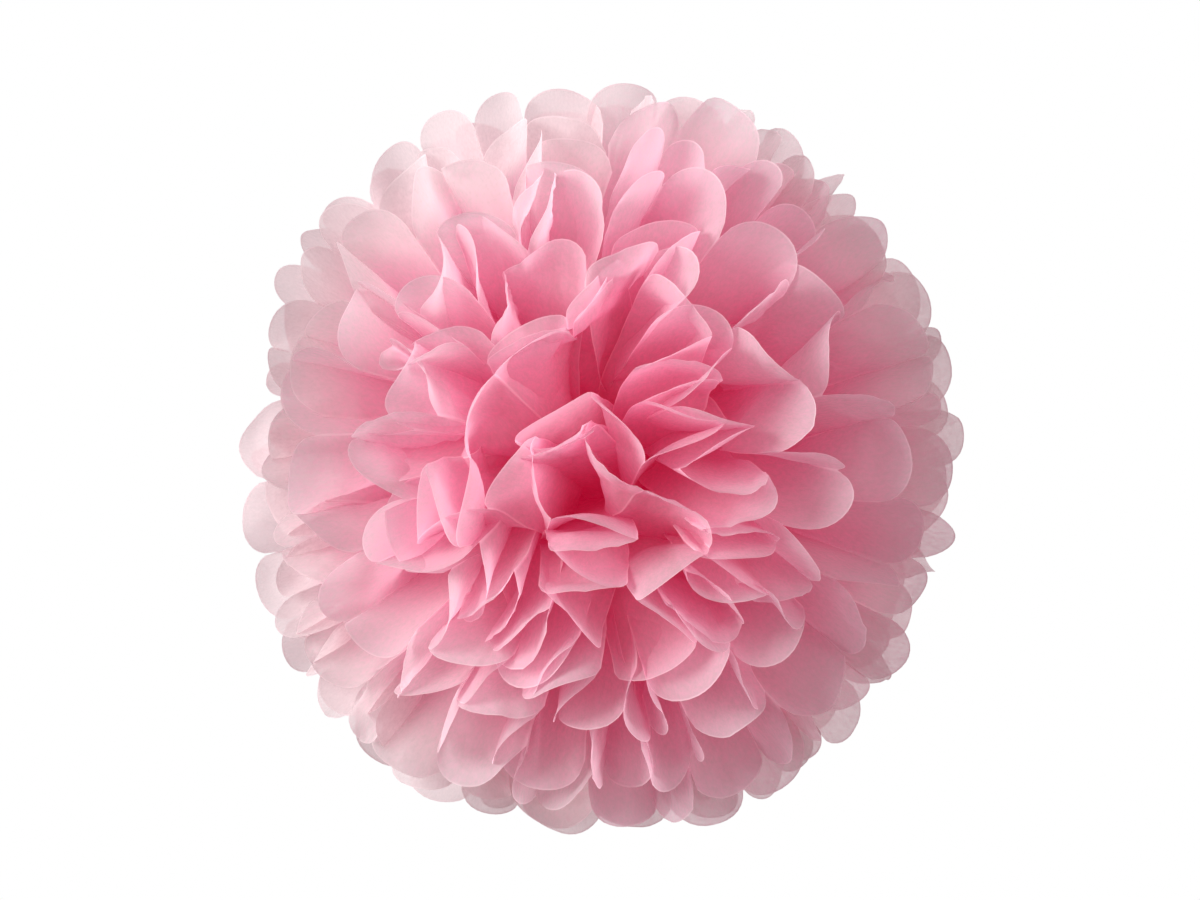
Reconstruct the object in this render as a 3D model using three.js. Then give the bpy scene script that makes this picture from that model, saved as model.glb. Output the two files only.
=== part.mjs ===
// Tissue paper pom pom: twelve tissue sheets, accordion folded together into one
// strip, gathered at the middle by a wire and opened out into a ball.
//
// How the real thing is made, and how it is built here:
//   - Each sheet is 250 x 500 mm.  All twelve are laid on each other and pleated
//     across the 500 mm side into 18 panels, so the strip is 250 mm long.
//   - Both ends of the folded strip are cut round, which leaves every panel
//     with a round end: the petals.
//   - The wire goes round the middle of the strip, so each sheet has a left
//     wing and a right wing of 18 petals that pass through the tie.
//   - Each wing is fanned out through half a turn, then the sheets are pulled
//     apart: six to the front pole and six to the back pole of the ball.
//
// Local frame of the sheets: the strip runs along X, the pleats are laid side
// by side along Y, and +Z is the front pole.  The outer group turns that so
// that the front pole faces -Y and the seam between the wings faces up.
// Millimetres, +Z up, origin at the middle of the tie.

import * as THREE from "three";

// ---- driving dimensions ---------------------------------------------------
const SHEETS = 12; // six pulled to each pole
const SHEET_LENGTH = 250; // along the strip
const SHEET_WIDTH = 500; // pleated into the panels
const PANELS = 18; // panels, and petals, in each wing
const PANEL = SHEET_WIDTH / PANELS; // 27.8 mm between two creases
const REACH = SHEET_LENGTH / 2; // tie to petal tip along the paper
const TIP = 0.44 * PANEL; // height of the round petal end
const NOTCH = REACH - TIP; // tie to the notch between two petals
const PAPER = 0.1; // tissue is nearer 0.04, this keeps both skins apart
const NECK = 10; // radius of the bundle in the tie
const NECK_STEP = 1.15; // one sheet to the next in the tie
const COLLAR = 1.6; // half the straight run through the wire
const SEAM = 0.6; // degrees left open between wing and seam
const SIDE = 0.94; // the ball is a little narrower than it is tall
const DEPTH = 0.955; // and a little flatter from pole to pole
const NOD = -6; // degrees the front pole hangs below the level

const WIRE_R = 0.45; // 0.9 mm florist's wire
const TWIST_R = 0.66; // each leg's distance from the twist's axis
const RING_R = NECK + 1.4; // where the wire runs round the bundle
const TWIST_FROM = RING_R + 3.2; // start of the twisted part
const TWIST_TO = 27; // its end, below the eye
const TAIL_TO = RING_R + 9; // end of the short twist on the other side
const EYE_R = 2.4; // the eye that the hanging thread goes through

const RAD = Math.PI / 180;
const mix = (a, b, t) => a + (b - a) * t;
const smooth = (a, b, x) => {
  const t = Math.min(1, Math.max(0, (x - a) / (b - a)));
  return t * t * (3 - 2 * t);
};
// a fixed spread of values from -1 to 1, the same at every build
const spread = (n) => {
  const x = Math.sin(n * 127.1 + 311.7) * 43758.5453;
  return 2 * (x - Math.floor(x)) - 1;
};

// ---- where a sheet runs ---------------------------------------------------
// Where each sheet ends up, in degrees above the ball's middle plane as seen
// from the tie.  Equal strips of paper need equal areas of the ball, so the
// sheets stand closer together near the middle plane.
const RISE = [-74, -57, -43, -30.5, -18, -6, 6, 18, 30.5, 43, 57, 74];

// Distances from the tie at which the pleats are set out.
const STATIONS = [0, 8, 20, 36, 54, 78, NOTCH];

// How high a pleat may stand, as a multiple of its share of the circle: the
// wire crushes the paper, which only opens to its full width further out.
// STEEPEST is the same against the sheet's own, smaller circle at the poles.
const STEEPEST = 4.2;
const highest = (s) => mix(1.5, 2.6, smooth(0, 24, s)) + 0.95 * smooth(20, 75, s) + 6 * smooth(72, 112, s);

// Petal outline: place across the panel and height as a share of TIP.
const PETAL = [0.16, 0.5, 0.84].map((v) => [v, Math.sqrt(1 - (2 * v - 1) ** 2)]);

// Side angle of crease j at distance s: even across the bundle in the tie,
// uneven round the half turn further out, alike in all sheets.
function sideAngle(j, s, wing) {
  const inner = j > 0 && j < PANELS;
  const u = (2 * (j + (inner ? 0.16 * spread(j + 40 * (wing + 2)) : 0))) / PANELS - 1;
  const even = (2 * j) / PANELS - 1;
  const inTie = Math.asin(0.95 * even);
  const outside = u * (90 - SEAM) * RAD;
  return mix(inTie, outside, smooth(0, 34, s));
}

// Height angle of crease j of sheet k at distance s.
function heightAngle(k, j, s) {
  const rho = Math.hypot(NECK, s);
  const inTie = Math.asin(((k - (SHEETS - 1) / 2) * NECK_STEP) / NECK);
  const base = mix(inTie, RISE[k] * RAD, smooth(0, 66, s));
  const share = (rho * (180 - 2 * SEAM) * RAD) / PANELS;
  const round = share * Math.cos(base);
  const across = Math.min(Math.sqrt(PANEL * PANEL - round * round), highest(s) * share, STEEPEST * round);
  return base + (j % 2 ? -1 : 1) * (across / (2 * rho));
}

// The height angle that half the paper's thickness takes at crease j: the
// steeper the panels on either side stand, the more.
function halfAngle(k, j, s, wing) {
  const at = (i, out = 0, up = 0) => place(sideAngle(i, s + out, wing), heightAngle(k, i, s + out) + up, s + out, wing);
  const here = at(j);
  const along = at(j, 1).sub(here);
  const lift = at(j, 0, 1e-3).sub(here).multiplyScalar(1e3);
  const facing = [j - 1, j + 1]
    .filter((i) => i >= 0 && i <= PANELS)
    .map((i) => Math.abs(new THREE.Vector3().crossVectors(at(i).sub(here), along).normalize().dot(lift)));
  return PAPER / 2 / Math.max(0.12 * lift.length(), Math.min(...facing));
}

// The ball is not even: the same slow waves push all sheets about.
function waves(side, height, s, wing) {
  const far = smooth(14, 80, s);
  return [
    side + far * 0.05 * Math.sin(2.3 * height + 1.7 * side + 1.1 * wing),
    height + far * (0.055 * Math.sin(3.1 * side + 1.9 * wing) + 0.035 * Math.sin(5.3 * side - 2.2 * height + 0.7)),
  ];
}

// A point of the ball from its two angles and its distance from the tie.
// Paper leaves the bundle square to the wire and then fans out.
function place(side0, height0, s, wing) {
  const [side, height] = waves(side0, height0, s, wing);
  const squeeze = 1 - 0.2 * smooth(25 * RAD, 75 * RAD, Math.abs(height));
  const dx = Math.cos(height) * Math.cos(side) * squeeze;
  const dy = Math.cos(height) * Math.sin(side);
  const dz = Math.sin(height);
  const len = Math.hypot(dx, dy, dz);
  const round = Math.hypot(NECK, s);
  const far = smooth(8, 80, s);
  const y = (round * dy) / len;
  const z = ((round * dz) / len) * mix(1, DEPTH, far);
  // the wings lean over each other by turns, so the seam winds
  const wind = 3.5 * far * Math.sin(y / 60 + z / 70 + 0.5);
  return new THREE.Vector3(wing * (mix(COLLAR, 0.5, far) + (s * dx * SIDE) / len) + wind, y, z);
}

// ---- one sheet as one closed body ------------------------------------------
// Both skins share one layout: rows of crease points from the right wing's
// notches through the tie to the left wing's notches, and three points for
// each petal's round end.
function sheetGeometry(k) {
  const points = [];
  const faces = [];
  const add = (p) => points.push(p) - 1;

  const skin = (sign) => {
    const row = (s, wing) =>
      Array.from({ length: PANELS + 1 }, (_, j) =>
        add(place(sideAngle(j, s, wing), heightAngle(k, j, s) + sign * halfAngle(k, j, s, wing), s, wing)),
      );
    const rows = [];
    for (let i = STATIONS.length - 1; i >= 0; i--) rows.push(row(STATIONS[i], 1));
    for (let i = 0; i < STATIONS.length; i++) rows.push(row(STATIONS[i], -1));

    const petals = [1, -1].map((wing) =>
      Array.from({ length: PANELS }, (_, j) =>
        PETAL.map(([v, up]) => {
          const side = mix(sideAngle(j, NOTCH, wing), sideAngle(j + 1, NOTCH, wing), v);
          const height = mix(heightAngle(k, j, NOTCH), heightAngle(k, j + 1, NOTCH), v);
          const half = mix(halfAngle(k, j, NOTCH, wing), halfAngle(k, j + 1, NOTCH, wing), v);
          const reach = NOTCH + TIP * up * (1 + 0.12 * spread(j + 23 * k + 7 * wing));
          return add(place(side, height + sign * half, reach, wing));
        }),
      ),
    );
    return { rows, petals };
  };

  const top = skin(1);
  const under = skin(-1);

  const last = top.rows.length - 1;
  for (const [s, flip] of [[top, false], [under, true]]) {
    const put = (...f) => faces.push(flip ? f.reverse() : f);
    for (let r = 0; r < last; r++)
      for (let j = 0; j < PANELS; j++) {
        // rows run from +X to -X and columns towards +Y
        const [a, b, c, d] = [s.rows[r][j], s.rows[r][j + 1], s.rows[r + 1][j + 1], s.rows[r + 1][j]];
        if (r < last / 2) {
          put(a, b, c);
          put(a, c, d);
        } else {
          put(a, b, d);
          put(b, c, d);
        }
      }
    for (let j = 0; j < PANELS; j++) {
      const [p, q, t] = s.petals[0][j];
      const [a, b] = [s.rows[0][j], s.rows[0][j + 1]];
      put(a, p, q);
      put(a, q, b);
      put(q, t, b);
      const [p2, q2, t2] = s.petals[1][j];
      const [c, d] = [s.rows[last][j], s.rows[last][j + 1]];
      put(c, q2, p2);
      put(c, d, q2);
      put(q2, d, t2);
    }
  }

  // The cut edge: round every petal, and down both sides of the sheet.
  const loop = (s) => {
    const right = [];
    for (let j = 0; j < PANELS; j++) right.push(s.rows[0][j], ...s.petals[0][j]);
    const left = [];
    for (let j = 0; j < PANELS; j++) left.push(s.rows[last][j], ...s.petals[1][j]);
    const far = s.rows.map((row) => row[PANELS]);
    const near = s.rows.map((row) => row[0]).slice(1, -1);
    return [...right, ...far, ...left.slice(1).reverse(), s.rows[last][0], ...near.reverse()];
  };
  const [edge, below] = [loop(top), loop(under)];
  edge.forEach((_, i) => {
    const n = (i + 1) % edge.length;
    faces.push([edge[i], below[i], below[n]], [edge[i], below[n], edge[n]]);
  });

  const xyz = new Float32Array(points.length * 3);
  points.forEach((p, i) => p.toArray(xyz, i * 3));
  const geometry = new THREE.BufferGeometry();
  geometry.setAttribute("position", new THREE.BufferAttribute(xyz, 3));
  geometry.setIndex(faces.flat());
  return geometry;
}

// ---- the wire ---------------------------------------------------------------
// One wire, doubled: the bend is the eye for the hanging thread, the two legs
// are twisted, part round the bundle and are twisted again below it.
function wireGeometry() {
  const twist = (from, to, turns, phase, steps) =>
    Array.from({ length: steps + 1 }, (_, i) => {
      const a = phase + (turns * 2 * Math.PI * i) / steps;
      return new THREE.Vector3(TWIST_R * Math.cos(a), mix(from, to, i / steps), TWIST_R * Math.sin(a));
    });
  const arc = (sign) =>
    Array.from({ length: 13 }, (_, i) => {
      const a = mix(-68, 68, i / 12) * RAD;
      return new THREE.Vector3(0, RING_R * Math.sin(a), sign * RING_R * Math.cos(a));
    });
  const eye = Array.from({ length: 9 }, (_, i) => {
    const a = mix(-55, 235, i / 8) * RAD;
    return new THREE.Vector3(0, TWIST_TO + EYE_R + 1.2 + EYE_R * Math.sin(a), EYE_R * Math.cos(a));
  });
  const front = [
    ...twist(-TAIL_TO, -TWIST_FROM, 1, Math.PI / 2, 8),
    ...arc(1),
    ...twist(TWIST_FROM, TWIST_TO, 2, Math.PI / 2, 16),
  ];
  const back = [
    ...twist(-TAIL_TO, -TWIST_FROM, 1, -Math.PI / 2, 8),
    ...arc(-1),
    ...twist(TWIST_FROM, TWIST_TO, 2, -Math.PI / 2, 16),
  ];
  const curve = new THREE.CatmullRomCurve3([...front, ...eye, ...back.reverse()], false, "centripetal");
  const section = new THREE.Shape(
    Array.from({ length: 5 }, (_, i) => new THREE.Vector2(Math.cos((i * 2 * Math.PI) / 5), Math.sin((i * 2 * Math.PI) / 5)).multiplyScalar(WIRE_R)),
  );
  return new THREE.ExtrudeGeometry(section, { steps: 116, extrudePath: curve, bevelEnabled: false, curveSegments: 1 });
}

// ---- the object ---------------------------------------------------------------
const tissue = new THREE.MeshStandardMaterial({ name: "tissue", color: 0xf2a3bb, roughness: 0.85, metalness: 0, side: THREE.DoubleSide });
const steel = new THREE.MeshStandardMaterial({ name: "wire", color: 0xb9bcc0, roughness: 0.35, metalness: 1 });

const NAMES = Array.from({ length: SHEETS }, (_, k) =>
  k < SHEETS / 2 ? `tissue_sheet_back_${SHEETS / 2 - k}` : `tissue_sheet_front_${k - SHEETS / 2 + 1}`,
);

const pompom = new THREE.Group();
pompom.name = "tissue_paper_pom_pom";
pompom.rotation.x = (90 - NOD) * RAD; // front pole to -Y and a little down, seam up
NAMES.forEach((name, k) => {
  const mesh = new THREE.Mesh(sheetGeometry(k), tissue);
  mesh.name = name;
  pompom.add(mesh);
});
const tie = new THREE.Mesh(wireGeometry(), steel);
tie.name = "tie_wire";
pompom.add(tie);

const part = new THREE.Group();
part.add(pompom);

export default part;
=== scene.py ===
import math

import bpy
import numpy as np
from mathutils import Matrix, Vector


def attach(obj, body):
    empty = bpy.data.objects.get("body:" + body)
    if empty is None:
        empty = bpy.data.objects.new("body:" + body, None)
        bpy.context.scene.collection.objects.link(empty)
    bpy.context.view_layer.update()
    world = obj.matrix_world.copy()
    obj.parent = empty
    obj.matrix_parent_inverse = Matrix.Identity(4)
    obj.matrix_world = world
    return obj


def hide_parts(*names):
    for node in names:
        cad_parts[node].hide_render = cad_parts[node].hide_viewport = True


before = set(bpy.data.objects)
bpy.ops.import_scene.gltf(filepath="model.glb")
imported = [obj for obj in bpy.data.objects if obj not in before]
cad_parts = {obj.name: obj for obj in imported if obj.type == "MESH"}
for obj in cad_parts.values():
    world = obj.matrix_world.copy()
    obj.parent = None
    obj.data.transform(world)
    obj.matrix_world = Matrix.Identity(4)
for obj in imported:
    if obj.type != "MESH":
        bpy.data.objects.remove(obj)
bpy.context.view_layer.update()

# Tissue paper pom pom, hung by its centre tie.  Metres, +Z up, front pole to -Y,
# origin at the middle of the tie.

scene = bpy.context.scene

# ---- the paper ------------------------------------------------------------------
# Twelve sheets, 250 x 500 mm, pleated together into 18 panels, gathered in the middle
# and opened: the same build as the CAD, on a finer grid, with each crease of each
# sheet going its own way.  Local frame: strip along X, pleats side by side along Y,
# front pole +Z.  Millimetres here, metres once it becomes a mesh.
SHEETS, PANELS = 12, 18
PANEL = 500.0 / PANELS
REACH = 125.0
TIP = 0.44 * PANEL
NOTCH = REACH - TIP
NECK, NECK_STEP, COLLAR = 10.0, 1.15, 1.6
SIDE, DEPTH = 0.83, 0.955
NOD = -6.0
RISE = np.array([-78, -63, -49, -35.5, -22, -8.5, 5.5, 19, 33.5, 48.5, 64, 78.0])
S = np.array([0, 8, 16, 25, 35, 45, 55, 65, 75, 85, 94, 103, 112, 119, 125.0])
M = len(S)
C = 2 * PANELS + 1
RNG = np.random.default_rng(20117)
tilt = math.radians(90 - NOD)
TURN = np.array([[1, 0, 0], [0, math.cos(tilt), -math.sin(tilt)], [0, math.sin(tilt), math.cos(tilt)]])

# Camera: distance in mm and pixels of the 1200 x 900 frame to a millimetre at the tie.
DIST, PX, MID = 1500.0, 3.05, (595.0, 459.0)

# Where the creases of the two innermost sheets end, as the picture shows the middle of
# the ball: frame pixels, from the seam below to the seam above, and the reach in mm.
INNER = {
    (11, 0): (111, [(604, 650), (537, 584), (622, 584), (548, 548), (636, 538), (550, 520), (536, 442), (487, 508), (412, 548), (434, 464),
                    (462, 547), (466, 457), (497, 371), (568, 332), (489, 361), (562, 320), (620, 262), (572, 325), (626, 258)]),
    (11, 1): (111, [(618, 676), (700, 642), (628, 590), (706, 546), (642, 488), (583, 433), (507, 460), (590, 425), (518, 441), (598, 388),
                    (642, 459), (726, 420), (636, 402), (720, 380), (634, 370), (712, 335), (640, 290), (700, 228), (620, 240)]),
}


def smooth(a, b, x):
    t = np.clip((x - a) / (b - a), 0, 1)
    return t * t * (3 - 2 * t)


def from_frame(px, py, reach):
    """Local point that the camera sees at a pixel, at that distance from the tie, on the near side."""
    y = -reach
    for _ in range(20):
        k = (DIST + y) / (DIST * PX)
        x, z = (px - MID[0]) * k, (MID[1] - py) * k
        y = -math.sqrt(max(reach**2 - x * x - z * z, 1))
    return np.array([x, y, z]) @ TURN


def waves(side, height, s, wing):
    far = smooth(14, 80, s)
    return (
        side + far * 0.05 * np.sin(2.3 * height + 1.7 * side + 1.1 * wing),
        height + far * (0.055 * np.sin(3.1 * side + 1.9 * wing) + 0.035 * np.sin(5.3 * side - 2.2 * height + 0.7)),
    )


def place(side, height, s, wing):
    """Local position in mm from the two angles seen from the tie and the distance along the paper."""
    side, height = waves(side, height, s, wing)
    squeeze = 1 - 0.52 * smooth(np.radians(25), np.radians(75), np.abs(height))
    dx = np.cos(height) * np.cos(side) * squeeze
    dy = np.cos(height) * np.sin(side)
    dz = np.sin(height)
    n = np.sqrt(dx * dx + dy * dy + dz * dz)
    r = np.hypot(NECK, s)
    far = smooth(8, 80, s)
    y = r * dy / n
    z = r * dz / n * (1 + (DEPTH - 1) * far)
    wind = 6 * far * np.sin(y / 23 + z / 31 + 0.5)
    # a little flat at the top and bottom and on its left and right, fuller towards the corners
    y = y * (1 - 0.05 * far * np.cos(height) ** 2 * (dy / n) ** 4)
    flank = 1 - (1 - SIDE) * (dx / n) ** 4
    x = wing * (COLLAR + (0.5 - COLLAR) * far + s * dx * flank / n) + wind
    return np.stack([x, y, z], -1)


def lean(k, w, even):
    """Sheets that don't stand evenly: extra degrees of height round each wing, from the seam below to the seam above."""
    t = (even + 1) / 2
    middle, ends = np.sin(np.pi * t) ** 0.8, 1 - np.sin(np.pi * t) ** 0.8
    left, right, seam = {
        10: (-9, -4, -15),
        9: (2, -1, -9),
        8: (6, -3, -4),
        7: (12, -2, 0),
        6: (18, 1, 6),
        5: (9, 0, 4),
        4: (1, 0, 0),
        3: (1, 0, 0),
    }.get(k, (0, 0, 0))
    return (left if w == 0 else right) * middle + seam * ends


def pleats():
    """Where each crease of each wing wants to go: side and height angles, [wing of sheet, station, crease].  Wing 0 is the left one."""
    W = 2 * SHEETS
    side = np.zeros((W, M, PANELS + 1))
    high = np.zeros((W, M, PANELS + 1))
    even = 2 * np.arange(PANELS + 1) / PANELS - 1
    shared = RNG.normal(0, 0.13, (2, PANELS + 1))
    shared[:, [0, -1]] = 0
    for k in range(SHEETS):
        lift = abs(RISE[k])
        spread = np.interp(lift, [6, 20, 34, 51, 64, 78], [0.22, 0.3, 0.4, 0.55, 0.6, 1.0])
        for w in (0, 1):
            i = 2 * k + w
            gap = np.exp(RNG.normal(0, spread, PANELS))
            # every other petal lies open over its neighbour, and the ones by the seams open up
            gap *= np.where((np.arange(PANELS) + k + w) % 2, 1.25, 0.8)
            gap[[0, -1]] *= 1.5
            gap[[1, -2]] *= 1.2
            limit = PANEL / (118 * max(0.16, np.cos(np.radians(RISE[k])))) / (np.pi / PANELS)
            for _ in range(30):
                gap = np.clip(gap * PANELS / gap.sum(), 0.25 if lift > 60 else 0.12, 0.97 * limit)
            u_out = np.concatenate([[0], np.cumsum(gap)])
            u_out = 2 * u_out / u_out[-1] - 1
            u_mid = even + 2 * shared[w] / PANELS
            wave = 0
            for f in (1, 2, 3):
                wave = wave + RNG.normal(0, 1.0 / f) * np.sin(f * np.pi * (even + 1) / 2 + RNG.uniform(0, 6.28))
            wave = np.radians(np.interp(lift, [6, 72], [2.0, 4.5])) * wave + np.radians(lean(k, w, even))
            each = np.radians(np.interp(lift, [6, 72], [2.4, 4.0])) * RNG.normal(0, 1, PANELS + 1) * (0.4 + 0.6 * np.sin(np.pi * (even + 1) / 2) ** 0.5)
            for m, s in enumerate(S):
                rho = np.hypot(NECK, s)
                t1 = smooth(0, 34, s)
                t2 = smooth(48, 112, s)
                u = (1 - t2) * u_mid + t2 * u_out
                side[i, m] = (1 - t1) * np.arcsin(0.95 * even) + t1 * u * np.radians(89.4)
                tie = np.arcsin((k - (SHEETS - 1) / 2) * NECK_STEP / NECK)
                t3 = smooth(0, 66, s)
                base = (1 - t3) * tie + t3 * np.radians(RISE[k])
                turn = np.diff(side[i, m])
                arc = rho * np.cos(base) * turn
                share = rho * np.pi / PANELS
                cap = (1.5 + 1.1 * smooth(0, 24, s) + 0.95 * smooth(20, 75, s) + 6 * smooth(60, 100, s)) * share
                # the panel keeps its width: what the circle doesn't take, the pleat stands up
                across = np.minimum(np.sqrt(np.maximum(PANEL**2 - arc**2, 1.0)), cap)
                h = np.concatenate([[0], np.cumsum(np.where(np.arange(PANELS) % 2, 1.0, -1.0) * across)])
                slow = h.copy()
                for _ in range(3):
                    pad = np.concatenate([slow[:1], slow, slow[-1:]])
                    slow = 0.25 * pad[:-2] + 0.5 * pad[1:-1] + 0.25 * pad[2:]
                high[i, m] = base + t2 * (wave + each) + (h - slow) / rho
    return side, high


def lattice():
    side, high = pleats()
    W = side.shape[0]
    P = np.zeros((W, M, C, 3))
    wing = np.where(np.arange(W) % 2 == 0, -1.0, 1.0)[:, None, None]
    P[:, :, 0::2] = place(side, high, S[None, :, None], wing)
    pin = np.zeros((W, 1, C, 1))
    for (k, w), (reach, tips) in INNER.items():
        i = 2 * k + w
        for j, (px, py) in enumerate(tips):
            tip = from_frame(px, py, reach - 3)
            for m, s in enumerate(S):
                t = smooth(40, 104, s)
                P[i, m, 2 * j] = (1 - t) * P[i, m, 2 * j] + t * tip * (s / NOTCH)
        pin[i, 0, 0::2] = 1
    P[:, :, 1::2] = (P[:, :, 0:-2:2] + P[:, :, 2::2]) / 2
    return P, pin


def settle(P, pin, rounds=200):
    """Paper doesn't stretch: pulls every panel back to its own size, keeps the creases straight and the sheets apart."""
    T = P.copy()
    fixed = 3  # stations inside the gathers
    mass = np.ones((1, M, 1, 1))
    mass[:, :fixed] = 0
    full = np.zeros(M)
    d0 = np.linalg.norm(np.diff(P, axis=2), axis=-1).mean(axis=(0, 2))
    for m, sv in enumerate(S):
        t = smooth(25, 70, sv)
        full[m] = (1 - t) * d0[m] + t * PANEL / 2
    full = full[None, :, None]
    ds = np.diff(S)[None, :, None]
    tips = np.zeros((1, M, 1, 1))
    tips[:, 11:13] = 1

    def pull(A, B, wa, wb, rest, k):
        d = B - A
        n = np.linalg.norm(d, axis=-1)
        q = (k * (n - rest) / np.maximum(n, 1e-6))[..., None] * d / np.maximum(wa + wb, 1e-9)
        A += wa * q
        B -= wb * q

    wr = mass
    pairs = None
    for it in range(rounds):
        hold = 0.03 if it < rounds * 0.6 else 0.012
        P += (hold + pin * tips * 0.3) * (T - P) * mass
        if it >= 6 and it % 2 == 0:
            if pairs is None or it % 10 == 0:
                pairs = near_pairs(P)
            apart(P, pairs)
        # along the paper
        for o in (0, 1):
            A, B = P[:, o:-1:2], P[:, o + 1 :: 2]
            n = min(A.shape[1], B.shape[1])
            pull(A[:, :n], B[:, :n], wr[:, o:-1:2][:, :n], wr[:, o + 1 :: 2][:, :n], ds[:, o::2][:, :n], 1.0)
        # across the panels
        for o in (0, 1):
            A, B = P[:, :, o:-1:2], P[:, :, o + 1 :: 2]
            n = min(A.shape[2], B.shape[2])
            pull(A[:, :, :n], B[:, :, :n], wr, wr, full, 1.0)
        # a panel hardly bends across, and doesn't shear
        pull(P[:, :, 0:-2:2], P[:, :, 2::2], wr, wr, 2 * full * 0.985, 0.6)
        for o in (0, 1):
            r = (M - o) // 2
            top, low = slice(o, o + 2 * r - 1, 2), slice(o + 1, o + 2 * r, 2)
            w0 = 0.5 * (full[:, top] + full[:, low])
            diag = np.sqrt(ds[:, o::2][:, : w0.shape[1]] ** 2 + w0**2)
            for c0 in (0, 1):
                a, b = slice(c0, C - 1, 2), slice(c0 + 1, C, 2)
                pull(P[:, top, a], P[:, low, b], wr[:, top], wr[:, low], diag, 0.7)
                pull(P[:, top, b], P[:, low, a], wr[:, top], wr[:, low], diag, 0.7)
        # creases run straight
        for o in (0, 1, 2, 3):
            A, B = P[:, o:-2:4], P[:, o + 2 :: 4]
            n = min(A.shape[1], B.shape[1])
            rest = (S[2:] - S[:-2])[None, o::4, None][:, :n]
            pull(A[:, :n], B[:, :n], wr[:, o:-2:4][:, :n], wr[:, o + 2 :: 4][:, :n], rest, 0.35)
    return P


APART, CLOSED = 6.0, 1.6


def near_pairs(P):
    """Lattice points of different sheets, or of pleats that face each other, that are close enough to touch."""
    W = P.shape[0]
    rows = np.arange(6, M)
    Q = P[:, rows].reshape(-1, 3)
    wi, mi, ci = np.meshgrid(np.arange(W), rows, np.arange(C), indexing="ij")
    ids = ((wi * M + mi) * C + ci).reshape(-1)
    wi, ci = wi.reshape(-1), ci.reshape(-1)
    cell = APART + 2.5
    key3 = np.floor(Q / cell).astype(np.int64) + 64
    key = (key3[:, 0] * 128 + key3[:, 1]) * 128 + key3[:, 2]
    order = np.argsort(key, kind="stable")
    skey = key[order]
    out = []
    for dx in (-1, 0, 1):
        for dy in (-1, 0, 1):
            for dz in (-1, 0, 1):
                off = (dx * 128 + dy) * 128 + dz
                lo = np.searchsorted(skey, key + off, "left")
                hi = np.searchsorted(skey, key + off, "right")
                n = hi - lo
                a = np.repeat(np.arange(len(key)), n)
                b = order[np.repeat(lo, n) + np.arange(n.sum()) - np.repeat(np.cumsum(n) - n, n)]
                keep = a < b
                a, b = a[keep], b[keep]
                use = ((wi[a] != wi[b]) | (np.abs(ci[a] - ci[b]) >= 2)) & (np.linalg.norm(Q[a] - Q[b], axis=1) < cell)
                out.append((ids[a[use]], ids[b[use]], wi[a[use]] == wi[b[use]]))
    A = np.concatenate([o[0] for o in out])
    B = np.concatenate([o[1] for o in out])
    return A, B, np.where(np.concatenate([o[2] for o in out]), CLOSED, APART)


def apart(P, pairs):
    A, B, rest = pairs
    F = P.reshape(-1, 3)
    d = F[B] - F[A]
    n = np.linalg.norm(d, axis=1)
    q = (0.25 * np.minimum(n - rest, 0) / np.maximum(n, 1e-6))[:, None] * d
    for ax in range(3):
        F[:, ax] += np.bincount(A, q[:, ax], len(F)) - np.bincount(B, q[:, ax], len(F))


# ---- from the lattice to a smooth sheet ---------------------------------------------
ACROSS = 15  # faces across a panel
ALONG = 52  # faces along it


def along_curve(P, s):
    """Smooth curve along the paper for every column: P [M, ..., 3] at stations S, sampled at s [n]."""
    i = np.clip(np.searchsorted(S, s, "right") - 1, 0, M - 2)
    i0, i3 = np.maximum(i - 1, 0), np.minimum(i + 2, M - 1)
    sh = (slice(None),) + (None,) * (P.ndim - 1)
    h = (S[i + 1] - S[i])[sh]
    t = ((s - S[i]) / (S[i + 1] - S[i]))[sh]
    m1 = (P[i + 1] - P[i0]) / (S[i + 1] - S[i0])[sh] * h
    m2 = (P[i3] - P[i]) / (S[i3] - S[i])[sh] * h
    return (2 * t**3 - 3 * t**2 + 1) * P[i] + (t**3 - 2 * t**2 + t) * m1 + (-2 * t**3 + 3 * t**2) * P[i + 1] + (t**3 - t**2) * m2


def hash2(x, y):
    n = np.sin(x * 127.1 + y * 311.7) * 43758.5453
    return n - np.floor(n)


def vnoise(x, y):
    xi, yi = np.floor(x), np.floor(y)
    fx, fy = x - xi, y - yi
    fx, fy = fx * fx * (3 - 2 * fx), fy * fy * (3 - 2 * fy)
    a = hash2(xi, yi) * (1 - fx) + hash2(xi + 1, yi) * fx
    b = hash2(xi, yi + 1) * (1 - fx) + hash2(xi + 1, yi + 1) * fx
    return 2 * (a * (1 - fy) + b * fy) - 1


def panel_grid(notch_l, notch_r, tip):
    """Paper coordinates of one panel with its round end: place across [ACROSS+1] and distance along [ALONG+1, ACROSS+1]."""
    even = np.arange(ACROSS + 1) / ACROSS
    v = 0.55 * (1 - np.cos(np.pi * even)) / 2 + 0.45 * even
    up = np.sqrt(np.maximum(1 - np.abs(2 * v - 1) ** 2.15, 0))
    end = notch_l + (notch_r - notch_l) * v + tip * up
    return v, (np.linspace(0, 1, ALONG + 1) ** 0.92)[:, None] * end[None, :]


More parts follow.
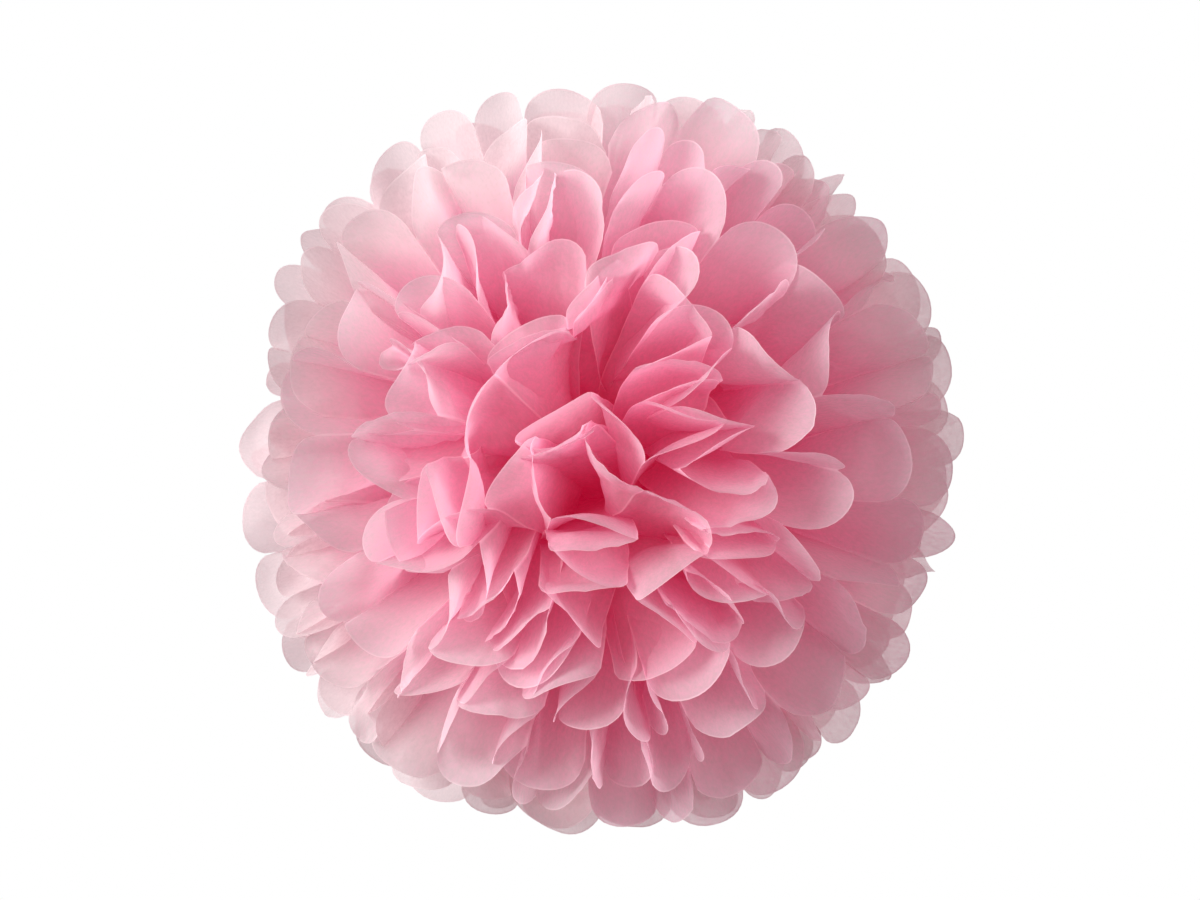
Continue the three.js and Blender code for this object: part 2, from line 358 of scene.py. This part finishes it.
def sheet_mesh(P, k):
    """P: the settled lattice of one sheet's two wings [2, M, C, 3].  Returns verts (mm, local), faces, paper coordinates (mm across, mm along) and mm to the cut edge."""
    rng = np.random.default_rng(900 + k)
    verts, coords, faces, rims = [], [], [], []
    cols = PANELS * ACROSS + 1
    start = 0
    for w in (0, 1):
        notch = NOTCH + rng.normal(0, 1.3, PANELS + 1)
        # the petals that stand in the middle of the ball are cut flatter
        tips = TIP * (1 + rng.normal(0, 0.13, PANELS)) * {0: 0.6, 11: 0.5, 10: 0.85}.get(k, 1.0)
        loose = 0.4 if k in (0, SHEETS - 1) else 1.0
        curl = rng.normal(0.3, 1.0, PANELS) * 3.2 * loose
        twist = rng.normal(0, 1.0, PANELS) * 2.2 * loose
        G = np.zeros((ALONG + 1, cols, 3))
        U = np.zeros((ALONG + 1, cols))
        V = np.zeros((ALONG + 1, cols))
        D = np.zeros((ALONG + 1, cols))
        R = np.zeros((ALONG + 1, cols))
        for j in range(PANELS):
            v, s = panel_grid(notch[j], notch[j + 1], tips[j])
            for c in range(ACROSS + 1):
                q = along_curve(P[w][:, 2 * j : 2 * j + 3], s[:, c])
                a = v[c]
                col = j * ACROSS + c
                G[:, col] = q[:, 0] * (1 - a) * (1 - 2 * a) + q[:, 1] * 4 * a * (1 - a) + q[:, 2] * a * (2 * a - 1)
                U[:, col] = (j + a) * PANEL
                V[:, col] = s[:, c]
                R[:, col] = s[-1, c] - s[:, c]
                reach = np.clip((s[:, c] - 76) / 49, 0, None) ** 2
                D[:, col] = reach * np.sqrt(4 * a * (1 - a)) * (curl[j] + twist[j] * (2 * a - 1) * 1.5)
        # normals over the whole wing
        N = np.cross(np.gradient(G, axis=1), np.gradient(G, axis=0))
        N /= np.maximum(np.linalg.norm(N, axis=-1, keepdims=True), 1e-9)
        far = smooth(30, 75, V)
        seed = 37.0 * k + 11.0 * w
        D += far * 1.5 * loose * vnoise(U / 23 + seed, V / 34 + seed)
        ridge = 1 - np.abs(vnoise(U / 10 + 0.35 * V / 9 + seed, V / 19 - seed))
        ridge2 = 1 - np.abs(vnoise(U / 7 - 0.5 * V / 9 - seed, V / 12 + seed))
        patch = np.clip(0.55 + 1.5 * vnoise(U / 31 - seed, V / 41 + seed), 0.15, 2.2)
        D += far * patch * (0.72 * ridge**4 + 0.52 * ridge2**5 + 0.18 * vnoise(U / 4.2 + seed, V / 6.1))
        G += D[..., None] * N
        verts.append(G.reshape(-1, 3))
        coords.append(np.stack([U, V if w else -V], -1).reshape(-1, 2))
        rims.append(R.reshape(-1))
        i = np.arange(ALONG)[:, None] * cols + np.arange(cols - 1)[None, :] + start
        quad = np.stack([i, i + 1, i + 1 + cols, i + cols], -1).reshape(-1, 4)
        faces.append(quad if w else quad[:, ::-1])
        start += (ALONG + 1) * cols
    # through the tie
    a = np.arange(cols - 1)
    b = a + (ALONG + 1) * cols
    faces.append(np.stack([a, a + 1, b + 1, b], -1))
    return np.concatenate(verts), np.concatenate(faces), np.concatenate(coords), np.concatenate(rims)


# ---- materials ----------------------------------------------------------------------
def nodes_of(name):
    mat = bpy.data.materials.new(name)
    mat.use_nodes = True
    nt = mat.node_tree
    nt.nodes.clear()
    return mat, nt


def ramp(nt, stops, interpolation="LINEAR"):
    n = nt.nodes.new("ShaderNodeValToRGB")
    n.color_ramp.interpolation = interpolation
    while len(n.color_ramp.elements) < len(stops):
        n.color_ramp.elements.new(0.5)
    for e, (pos, col) in zip(n.color_ramp.elements, stops):
        e.position = pos
        e.color = (*col, 1) if len(col) == 3 else col
    return n


def tissue_material():
    """Dyed tissue: thin, matt, lets light through, with clouds of fibre, painted highlights along the cut edges and
    folds, painted shade as a deeper colour down between the sheets, paler painted ends and a faint painted red glow.
    """
    mat, nt = nodes_of("tissue_paper")
    N, L = nt.nodes, nt.links
    coords = N.new("ShaderNodeAttribute")
    coords.attribute_name = "paper"
    # clouds where the fibres lie thicker, drawn out along the sheet
    stretch = N.new("ShaderNodeMapping")
    stretch.inputs["Scale"].default_value = (760.0, 460.0, 420.0)
    L.new(coords.outputs["Vector"], stretch.inputs["Vector"])
    thick = N.new("ShaderNodeTexNoise")
    thick.inputs["Scale"].default_value = 1.0
    thick.inputs["Detail"].default_value = 2.0
    thick.inputs["Roughness"].default_value = 0.7
    L.new(stretch.outputs["Vector"], thick.inputs["Vector"])

    clear = ramp(nt, [(0.3, (CLEAR_THIN,) * 3), (0.7, (CLEAR_THICK,) * 3)])
    L.new(thick.outputs[0], clear.inputs["Fac"])

    # painted highlight: the cut edge and the folds are painted paler and a little less see-through, standing in for the
    # light they catch
    split = N.new("ShaderNodeSeparateXYZ")
    L.new(coords.outputs["Vector"], split.inputs["Vector"])
    # painted shade and light: the colour is painted deeper down between the sheets, standing in for shade, and paler
    # towards the petals' ends, standing in for light; the patches from the fibre clouds are the paper's own
    painted_tone_attr = N.new("ShaderNodeAttribute")
    painted_tone_attr.attribute_name = "painted_tone"
    patchy = N.new("ShaderNodeMath")
    patchy.operation = "MULTIPLY_ADD"
    patchy.inputs[1].default_value = -0.56
    patchy.inputs[2].default_value = 0.28
    L.new(thick.outputs[0], patchy.inputs[0])
    painted_tone_and_patches = N.new("ShaderNodeMath")
    painted_tone_and_patches.operation = "ADD"
    L.new(painted_tone_attr.outputs["Fac"], painted_tone_and_patches.inputs[0])
    L.new(patchy.outputs[0], painted_tone_and_patches.inputs[1])
    face = ramp(nt, [(0.0, FACE_DEEP), (0.66, FACE_PALE), (1.0, FACE_RIM)])
    through = ramp(nt, [(0.0, THROUGH_DEEP), (0.66, THROUGH_PALE), (1.0, THROUGH_RIM)])
    for r in (face, through):
        L.new(painted_tone_and_patches.outputs[0], r.inputs["Fac"])
    fold = N.new("ShaderNodeMath")
    fold.operation = "PINGPONG"
    fold.inputs[1].default_value = PANEL / 1000.0
    L.new(split.outputs["X"], fold.inputs[0])
    # PINGPONG runs 0 .. PANEL .. 0, so both ends of it are folds
    other = N.new("ShaderNodeMath")
    other.operation = "SUBTRACT"
    other.inputs[0].default_value = PANEL / 1000.0
    L.new(fold.outputs[0], other.inputs[1])
    near_fold = N.new("ShaderNodeMath")
    near_fold.operation = "MINIMUM"
    L.new(fold.outputs[0], near_fold.inputs[0])
    L.new(other.outputs[0], near_fold.inputs[1])
    rim = N.new("ShaderNodeAttribute")
    rim.attribute_name = "rim"
    painted_light = []
    for source, width in ((near_fold.outputs[0], FOLD_WIDTH), (rim.outputs["Fac"], RIM_WIDTH)):
        m = N.new("ShaderNodeMapRange")
        m.interpolation_type = "SMOOTHSTEP"
        m.inputs["From Min"].default_value = 0.0
        m.inputs["From Max"].default_value = width
        m.inputs["To Min"].default_value = 1.0
        m.inputs["To Max"].default_value = 0.0
        L.new(source, m.inputs["Value"])
        painted_light.append(m)
    both = N.new("ShaderNodeMath")
    both.operation = "MAXIMUM"
    L.new(painted_light[0].outputs[0], both.inputs[0])
    L.new(painted_light[1].outputs[0], both.inputs[1])
    pale = N.new("ShaderNodeMix")
    pale.data_type = "RGBA"
    L.new(both.outputs[0], pale.inputs["Factor"])
    L.new(face.outputs["Color"], pale.inputs["A"])
    pale.inputs["B"].default_value = (*PALE, 1)
    solid = N.new("ShaderNodeMath")
    solid.operation = "MULTIPLY_ADD"
    solid.inputs[1].default_value = -EDGE_SOLID
    solid.inputs[2].default_value = 1.0
    L.new(both.outputs[0], solid.inputs[0])
    hole_share = N.new("ShaderNodeMath")
    hole_share.operation = "MULTIPLY"
    L.new(clear.outputs["Color"], hole_share.inputs[0])
    L.new(solid.outputs[0], hole_share.inputs[1])

    paper = N.new("ShaderNodeBsdfPrincipled")
    paper.inputs["Roughness"].default_value = 0.62
    paper.inputs["Specular IOR Level"].default_value = 0.32
    paper.inputs["Sheen Weight"].default_value = 0.12
    paper.inputs["Sheen Roughness"].default_value = 0.5
    paper.inputs["Sheen Tint"].default_value = (1.0, 0.86, 0.9, 1.0)
    # painted glow: a faint red emission stands in for light bounced deep between the sheets
    paper.inputs["Emission Color"].default_value = (*PAINTED_GLOW, 1)
    paper.inputs["Emission Strength"].default_value = PAINTED_GLOW_STRENGTH
    L.new(pale.outputs["Result"], paper.inputs["Base Color"])
    back = N.new("ShaderNodeBsdfTranslucent")
    L.new(through.outputs["Color"], back.inputs["Color"])
    body = N.new("ShaderNodeMixShader")
    body.inputs["Fac"].default_value = BACK_SHARE
    L.new(paper.outputs[0], body.inputs[1])
    L.new(back.outputs[0], body.inputs[2])
    hole = N.new("ShaderNodeBsdfTransparent")
    hole.inputs["Color"].default_value = (*CLEAR_TINT, 1)
    out_mix = N.new("ShaderNodeMixShader")
    L.new(hole_share.outputs[0], out_mix.inputs["Fac"])
    L.new(body.outputs[0], out_mix.inputs[1])
    L.new(hole.outputs[0], out_mix.inputs[2])
    out = N.new("ShaderNodeOutputMaterial")
    L.new(out_mix.outputs[0], out.inputs["Surface"])
    return mat


def wire_material():
    mat, nt = nodes_of("tie_wire_steel")
    N, L = nt.nodes, nt.links
    geo = N.new("ShaderNodeTexCoord")
    noise = N.new("ShaderNodeTexNoise")
    noise.inputs["Scale"].default_value = 900.0
    noise.inputs["Detail"].default_value = 4.0
    L.new(geo.outputs["Object"], noise.inputs["Vector"])
    col = ramp(nt, [(0.35, (0.42, 0.42, 0.43)), (0.7, (0.63, 0.64, 0.66))])
    L.new(noise.outputs["Fac"], col.inputs["Fac"])
    rough = N.new("ShaderNodeMapRange")
    rough.inputs["To Min"].default_value = 0.28
    rough.inputs["To Max"].default_value = 0.46
    L.new(noise.outputs["Fac"], rough.inputs["Value"])
    p = N.new("ShaderNodeBsdfPrincipled")
    p.inputs["Metallic"].default_value = 1.0
    L.new(col.outputs["Color"], p.inputs["Base Color"])
    L.new(rough.outputs["Result"], p.inputs["Roughness"])
    out = N.new("ShaderNodeOutputMaterial")
    L.new(p.outputs[0], out.inputs["Surface"])
    return mat


# the paper's colour in three painted tones: the deep one is painted shade down between the sheets, the pale one painted
# light on the petals' ends, the rim one the painted greyer look of single sheets at the edge of the ball
FACE_DEEP, FACE_PALE, FACE_RIM = (0.998, 0.55, 0.73), (0.965, 0.79, 0.86), (0.935, 0.895, 0.895)
THROUGH_DEEP, THROUGH_PALE, THROUGH_RIM = (0.999, 0.38, 0.61), (0.96, 0.67, 0.78), (0.93, 0.875, 0.88)
PAINTED_TONE_FROM, PAINTED_TONE_TO = (34.0, 66.0), (104.0, 118.0)  # mm along the paper: sheets round the middle, and at the poles
CLEAR_THIN, CLEAR_THICK = 0.33, 0.19
CLEAR_TINT = (0.93, 0.86, 0.885)
BACK_SHARE = 0.6
# colour of the painted highlight on the cut edges and folds
PALE = (1.0, 0.93, 0.95)
# painted glow: the paper gives off a faint red light of its own, standing in for light bounced deep between the sheets
PAINTED_GLOW, PAINTED_GLOW_STRENGTH = (1.0, 0.02, 0.15), 0.155
# width of the painted highlight along the folds and the cut edge, and how much less see-through it makes them
FOLD_WIDTH, RIM_WIDTH, EDGE_SOLID = 0.0006, 0.0008, 0.9

# ---- build the sheets ----------------------------------------------------------------
tissue = tissue_material()
shape = settle(*lattice())
for k in range(SHEETS):
    node = f"tissue_sheet_back_{SHEETS // 2 - k}" if k < SHEETS // 2 else f"tissue_sheet_front_{k - SHEETS // 2 + 1}"
    v, f, q, rim = sheet_mesh(shape[2 * k : 2 * k + 2], k)
    v = v @ TURN.T / 1000.0
    mesh = bpy.data.meshes.new("paper_" + node[7:])
    mesh.from_pydata(v.tolist(), [], f.tolist())
    attr = mesh.attributes.new("paper", "FLOAT_VECTOR", "POINT")
    flat = np.zeros((len(v), 3), np.float32)
    flat[:, 0] = q[:, 0] / 1000.0
    flat[:, 1] = q[:, 1] / 1000.0
    flat[:, 2] = k * 0.37
    attr.data.foreach_set("vector", flat.reshape(-1))
    edge = mesh.attributes.new("rim", "FLOAT", "POINT")
    edge.data.foreach_set("value", (rim / 1000.0).astype(np.float32))
    # painted tone per point: deep near the tie as painted shade between the sheets, paler towards the petal ends as
    # painted light
    painted_light = mesh.attributes.new("painted_tone", "FLOAT", "POINT")
    pole = smooth(10, 60, abs(RISE[k]))
    a, b = PAINTED_TONE_FROM[0] + (PAINTED_TONE_FROM[1] - PAINTED_TONE_FROM[0]) * pole, PAINTED_TONE_TO[0] + (PAINTED_TONE_TO[1] - PAINTED_TONE_TO[0]) * pole
    along = np.abs(q[:, 1])
    # painted light: the ends of the sheets round the middle are painted greyer, the look of single sheets with little
    # light behind them
    painted_rim_grey = (1 - smooth(8, 30, abs(RISE[k]))) * smooth(96, 116, along)
    # painted light: the left wings, where the key light falls, are painted paler
    painted_left_light = 0.15 * (q[:, 1] < 0) * smooth(40, 80, along) * (1 - smooth(40, 62, abs(RISE[k])))
    painted_light.data.foreach_set("value", (0.66 * np.clip((along - a) / (b - a), 0, 1) + 0.34 * painted_rim_grey + painted_left_light).astype(np.float32))
    mesh.materials.append(tissue)
    mesh.update()
    # soft over a panel, sharp along its creases
    cols = PANELS * ACROSS + 1
    vi = np.zeros(len(mesh.edges) * 2, np.int64)
    mesh.edges.foreach_get("vertices", vi)
    vi = vi.reshape(-1, 2)
    c0, c1 = (vi[:, 0] % ((ALONG + 1) * cols)) % cols, (vi[:, 1] % ((ALONG + 1) * cols)) % cols
    crease = (c0 == c1) & (c0 % ACROSS == 0)
    mesh.polygons.foreach_set("use_smooth", np.ones(len(mesh.polygons), bool))
    sharp = mesh.attributes.new("sharp_edge", "BOOLEAN", "EDGE")
    sharp.data.foreach_set("value", crease)
    piece = bpy.data.objects.new("paper_" + node[7:], mesh)
    scene.collection.objects.link(piece)
    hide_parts(node)
    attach(piece, "root")

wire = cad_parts["tie_wire"]
wire.data.materials.clear()
wire.data.materials.append(wire_material())

# ---- camera, floor and light -----------------------------------------------------------
cam = bpy.data.cameras.new("camera")
cam.sensor_width = 36.0
cam_obj = bpy.data.objects.new("camera", cam)
scene.collection.objects.link(cam_obj)
scene.camera = cam_obj
cam.lens = 36.0 * DIST * PX / 1200.0
cam.clip_end = 100
cam_obj.location = (0, -DIST / 1000, 0)
cam_obj.rotation_euler = (math.pi / 2, 0, 0)
cam.shift_x = (600 - MID[0]) / 1200.0
cam.shift_y = (MID[1] - 450) / 1200.0

# floor, walls and ceiling: a pale round room, lit evenly
def room():
    rings = []
    for r, z in ((0.0, -0.42), (3.4, -0.42)):
        rings.append((r, z))
    for i in range(1, 9):
        a = math.radians(90 * i / 8)
        rings.append((3.4 + 0.8 * math.sin(a), -0.42 + 0.8 * (1 - math.cos(a))))
    for i in range(0, 9):
        a = math.radians(90 * i / 8)
        rings.append((4.2 * math.cos(a), 2.4 + 2.0 * math.sin(a)))
    n = 64
    vs = [(max(r, 1e-4) * math.cos(2 * math.pi * j / n), max(r, 1e-4) * math.sin(2 * math.pi * j / n), z) for r, z in rings for j in range(n)]
    fs = [(i * n + j, i * n + (j + 1) % n, (i + 1) * n + (j + 1) % n, (i + 1) * n + j) for i in range(len(rings) - 1) for j in range(n)]
    me = bpy.data.meshes.new("studio_room")
    me.from_pydata(vs, [], fs)
    me.polygons.foreach_set("use_smooth", [True] * len(fs))
    ob = bpy.data.objects.new("studio_room", me)
    scene.collection.objects.link(ob)
    mat, nt = nodes_of("studio_white")
    e = nt.nodes.new("ShaderNodeEmission")
    e.inputs["Color"].default_value = (1, 1, 1, 1)
    e.inputs["Strength"].default_value = ROOM
    out = nt.nodes.new("ShaderNodeOutputMaterial")
    nt.links.new(e.outputs[0], out.inputs["Surface"])
    me.materials.append(mat)
    # seen white, but the paper is lit by the lamps and the softer sky
    ob.visible_diffuse = False
    ob.visible_glossy = False
    ob.visible_transmission = False
    ob.visible_shadow = False


ROOM, SKY = 1.0, 0.325
room()

world = bpy.data.worlds.new("studio")
scene.world = world
world.use_nodes = True
world.node_tree.nodes["Background"].inputs["Color"].default_value = (1, 1, 1, 1)
# a little brighter overhead and to the left, dimmer below
way = world.node_tree.nodes.new("ShaderNodeTexCoord")
tilt_sky = world.node_tree.nodes.new("ShaderNodeVectorMath")
tilt_sky.operation = "DOT_PRODUCT"
tilt_sky.inputs[1].default_value = (-0.3, 0.0, 0.55)
world.node_tree.links.new(way.outputs["Generated"], tilt_sky.inputs[0])
soft_sky = world.node_tree.nodes.new("ShaderNodeMath")
soft_sky.operation = "MULTIPLY_ADD"
soft_sky.inputs[1].default_value = SKY
soft_sky.inputs[2].default_value = SKY
world.node_tree.links.new(tilt_sky.outputs["Value"], soft_sky.inputs[0])
world.node_tree.links.new(soft_sky.outputs[0], world.node_tree.nodes["Background"].inputs["Strength"])


def lamp(name, at, size, power, colour=(1, 1, 1), aim=(0, 0, 0)):
    d = bpy.data.lights.new(name, "AREA")
    d.shape = "DISK"
    d.size = size
    d.energy = power
    d.color = colour
    o = bpy.data.objects.new(name, d)
    scene.collection.objects.link(o)
    o.location = at
    o.rotation_euler = (Vector(aim) - Vector(at)).to_track_quat("-Z", "Y").to_euler()


lamp("key", (-2.5, -1.7, 0.7), 1.8, 139, (1.0, 0.985, 0.98))
lamp("fill", (1.8, -1.4, 0.5), 1.4, 20, (1.0, 0.98, 1.0))

scene.view_settings.view_transform = "Standard"
scene.cycles.max_bounces = 6
scene.cycles.diffuse_bounces = 6
scene.cycles.transmission_bounces = 6
scene.cycles.transparent_max_bounces = 3
